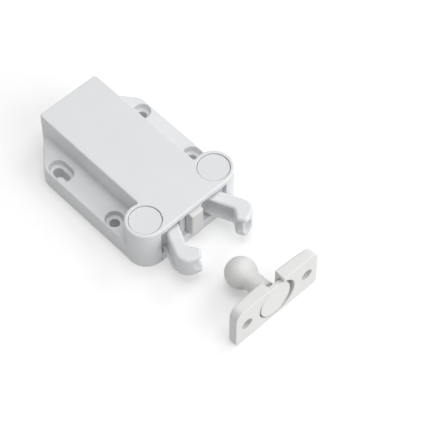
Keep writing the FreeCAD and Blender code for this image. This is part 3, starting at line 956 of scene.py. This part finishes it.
def spring_tree():
    tree = bpy.data.node_groups.new("wound_spring", "GeometryNodeTree")
    sizes = ("Length", "Coil Radius", "Wire Radius", "Turns")
    kinds = {"Start": "Vector", **{size: "Float" for size in sizes}, "Material": "Material"}
    sockets = named_inputs(tree, kinds)
    given = tree.nodes.new("NodeGroupInput").outputs
    line = tree.nodes.new("GeometryNodeCurvePrimitiveLine")
    cut = tree.nodes.new("GeometryNodeResampleCurve")
    cut.inputs["Count"].default_value = coil_turns * points_per_turn + 1
    tree.links.new(line.outputs["Curve"], cut.inputs["Curve"])
    share = tree.nodes.new("GeometryNodeSplineParameter").outputs["Factor"]
    angle = math_node(tree, "MULTIPLY", math_node(tree, "MULTIPLY", share, given["Turns"]), 2 * math.pi)
    place = tree.nodes.new("ShaderNodeCombineXYZ")
    for axis, operation in (("X", "COSINE"), ("Z", "SINE")):
        turned = math_node(tree, operation, angle)
        tree.links.new(math_node(tree, "MULTIPLY", turned, given["Coil Radius"]), place.inputs[axis])
    height = math_node(tree, "MULTIPLY", rise_curve(tree, share), given["Length"])
    tree.links.new(height, place.inputs["Y"])
    moved = tree.nodes.new("ShaderNodeVectorMath")
    tree.links.new(place.outputs["Vector"], moved.inputs[0])
    tree.links.new(given["Start"], moved.inputs[1])
    helix = tree.nodes.new("GeometryNodeSetPosition")
    tree.links.new(cut.outputs["Curve"], helix.inputs["Geometry"])
    tree.links.new(moved.outputs["Vector"], helix.inputs["Position"])
    swept_wire(tree, helix.outputs["Geometry"], given["Wire Radius"], given["Material"])
    return tree, sockets


wound, wound_inputs = spring_tree()
print("spring tree inputs:", list(wound_inputs))

# %% [markdown]
# Winding both springs
# Each spring takes its place and its length from its solid. When the slider goes in, a real spring gets
# shorter towards its seat on the rear wall; this wire is wound at its solid's length and keeps it.

# %% Wind both springs
coil_wire, spring_seat_gap = 0.4 * mm, 0.1 * mm
for node in ("left_spring", "right_spring"):
    low, high = (Vector(corner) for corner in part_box(node))
    axis_x, axis_z = (low.x + high.x) / 2, (low.z + high.z) / 2
    spring = link_object(node + "_wire", bpy.data.meshes.new(node + "_wire"))
    values = {"Start": (axis_x, low.y + coil_wire, axis_z), "Length": high.y - low.y - 2 * coil_wire,
              "Coil Radius": (high.x - low.x) / 2 - coil_wire, "Wire Radius": coil_wire,
              "Turns": float(coil_turns), "Material": finishes["spring_steel"]}
    seated(grown(spring, wound, wound_inputs, values), node)
    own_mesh(spring)

# %% [markdown]
# The cam follower
# A bent steel wire reads the heart-shaped groove: one end turns in the cover and the other rides in the
# lane. Three cylinders would meet in sharp elbows, which no bent wire has. So a second small tree takes the
# wire's corner points as a mesh, makes a curve of them, rounds the bends and sweeps the wire.

# %% Follower wire
bend_points, bend_share, run_z = 8, 1.6, 3.2 * mm


def wire_tree():
    tree = bpy.data.node_groups.new("bent_wire", "GeometryNodeTree")
    kinds = {"Corners": "Geometry", "Bend Radius": "Float", "Wire Radius": "Float", "Material": "Material"}
    sockets = named_inputs(tree, kinds)
    given = tree.nodes.new("NodeGroupInput").outputs
    path = tree.nodes.new("GeometryNodeMeshToCurve")
    bends = tree.nodes.new("GeometryNodeFilletCurve")
    bends.mode = "POLY"
    bends.inputs["Count"].default_value = bend_points
    tree.links.new(given["Corners"], path.inputs["Mesh"])
    tree.links.new(path.outputs["Curve"], bends.inputs["Curve"])
    tree.links.new(given["Bend Radius"], bends.inputs["Radius"])
    swept_wire(tree, bends.outputs["Curve"], given["Wire Radius"], given["Material"])
    return tree, sockets


low, high = (Vector(corner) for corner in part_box("cam_follower"))
wire_r = (high.x - low.x) / 2
rear_y, front_y = high.y - wire_r, low.y + wire_r
corners = [(0, rear_y, low.z), (0, rear_y, run_z), (0, front_y, run_z), (0, front_y, high.z)]
mesh = bpy.data.meshes.new("follower_path")
mesh.from_pydata(corners, [(0, 1), (1, 2), (2, 3)], [])
follower = link_object("cam_follower_wire", mesh)
bent, bent_inputs = wire_tree()
values = {"Bend Radius": bend_share * wire_r, "Wire Radius": wire_r, "Material": finishes["spring_steel"]}
seated(grown(follower, bent, bent_inputs, values), "cam_follower")

# %% [markdown]
# The floor
# The photograph is a product shot on a white sweep. A white floor alone would come out grey under a light
# that suits white plastic, and more light would burn out the catch. So a little glow lifts the floor and
# keeps the contact shadows. Only the camera and mirror-like rays see the glow, so it adds no light to the
# shaded sides of the catch.

# %% Floor
floor_half, floor_grey, floor_lift = 3.0, 0.80, 0.27


def floor_material():
    material, nodes, links = new_material("floor_white")
    nodes.clear()
    out = nodes.new("ShaderNodeOutputMaterial")
    matte = nodes.new("ShaderNodeBsdfDiffuse")
    matte.inputs["Color"].default_value = (floor_grey, floor_grey, floor_grey, 1)
    glow = nodes.new("ShaderNodeEmission")
    path = nodes.new("ShaderNodeLightPath")
    seen = path.outputs["Is Camera Ray"]
    for ray in ("Is Glossy Ray", "Is Transmission Ray"):
        seen = math_node(material.node_tree, "MAXIMUM", seen, path.outputs[ray])
    links.new(math_node(material.node_tree, "MULTIPLY", seen, floor_lift), glow.inputs["Strength"])
    both = nodes.new("ShaderNodeAddShader")
    links.new(matte.outputs["BSDF"], both.inputs[0])
    links.new(glow.outputs["Emission"], both.inputs[1])
    links.new(both.outputs["Shader"], out.inputs["Surface"])
    return material


corners = [(-floor_half, -floor_half, 0), (floor_half, -floor_half, 0), (floor_half, floor_half, 0)]
corners.append((-floor_half, floor_half, 0))
floor = mesh_object("floor", corners, [(0, 1, 2, 3)])
floor.data.materials.append(floor_material())
print("floor lifted by", floor_lift)

# %% [markdown]
# The light
# The shot is lit softly from above, the front and the right, so the faces towards the left are in shade. One
# small lamp would draw hard shadows, and a bare white sky would draw none. Three large area lamps give the
# shading, and a weak white sky fills the hollows.

# %% Lamps and world
sky_strength = 0.28
middle = (0.0, -0.03, 0.01)
lamps = {"right": ((0.85, -0.10, 0.85), 0.6, 2.8), "front": ((0.38, -1.06, 0.60), 1.2, 9.2),
         "top": ((0.0, -0.03, 1.2), 0.8, 5.7)}


def soft_lamp(name, place, size, power):
    light = bpy.data.lights.new(name, "AREA")
    light.size = size
    light.energy = power
    lamp = link_object(name, light)
    lamp.location = place
    lamp.rotation_euler = (Vector(middle) - Vector(place)).to_track_quat("-Z", "Y").to_euler()


for name, (place, size, power) in lamps.items():
    soft_lamp(name, place, size, power)
world = bpy.data.worlds.new("studio")
world.use_nodes = True
sky = world.node_tree.nodes["Background"]
sky.inputs["Color"].default_value = (1, 1, 1, 1)
sky.inputs["Strength"].default_value = sky_strength
bpy.context.scene.world = world
bpy.context.scene.view_settings.view_transform = "Standard"
print("lamps:", sorted(lamps))

# %% [markdown]
# The camera
# The view could be set by eye, but a fit of the photograph's straight edges gave it more closely: from the
# left front, looking down steeply through a long lens, so that the parallel edges stay almost parallel.

# %% Camera
azimuth, elevation, distance = math.radians(-43.50), math.radians(56.01), 762.1 * mm
target = Vector((12.67, -36.79, 0.0)) * mm
away = Vector((math.sin(azimuth) * math.cos(elevation), -math.cos(azimuth) * math.cos(elevation),
               math.sin(elevation)))
lens = bpy.data.cameras.new("camera")
lens.sensor_width = 36.0
lens.lens = 159.8
lens.clip_start = 0.05
camera = link_object("camera", lens)
camera.location = target + away * distance
camera.rotation_euler = (-away).to_track_quat("-Z", "Y").to_euler()
bpy.context.scene.camera = camera
print("camera at", tuple(round(v, 3) for v in camera.location))
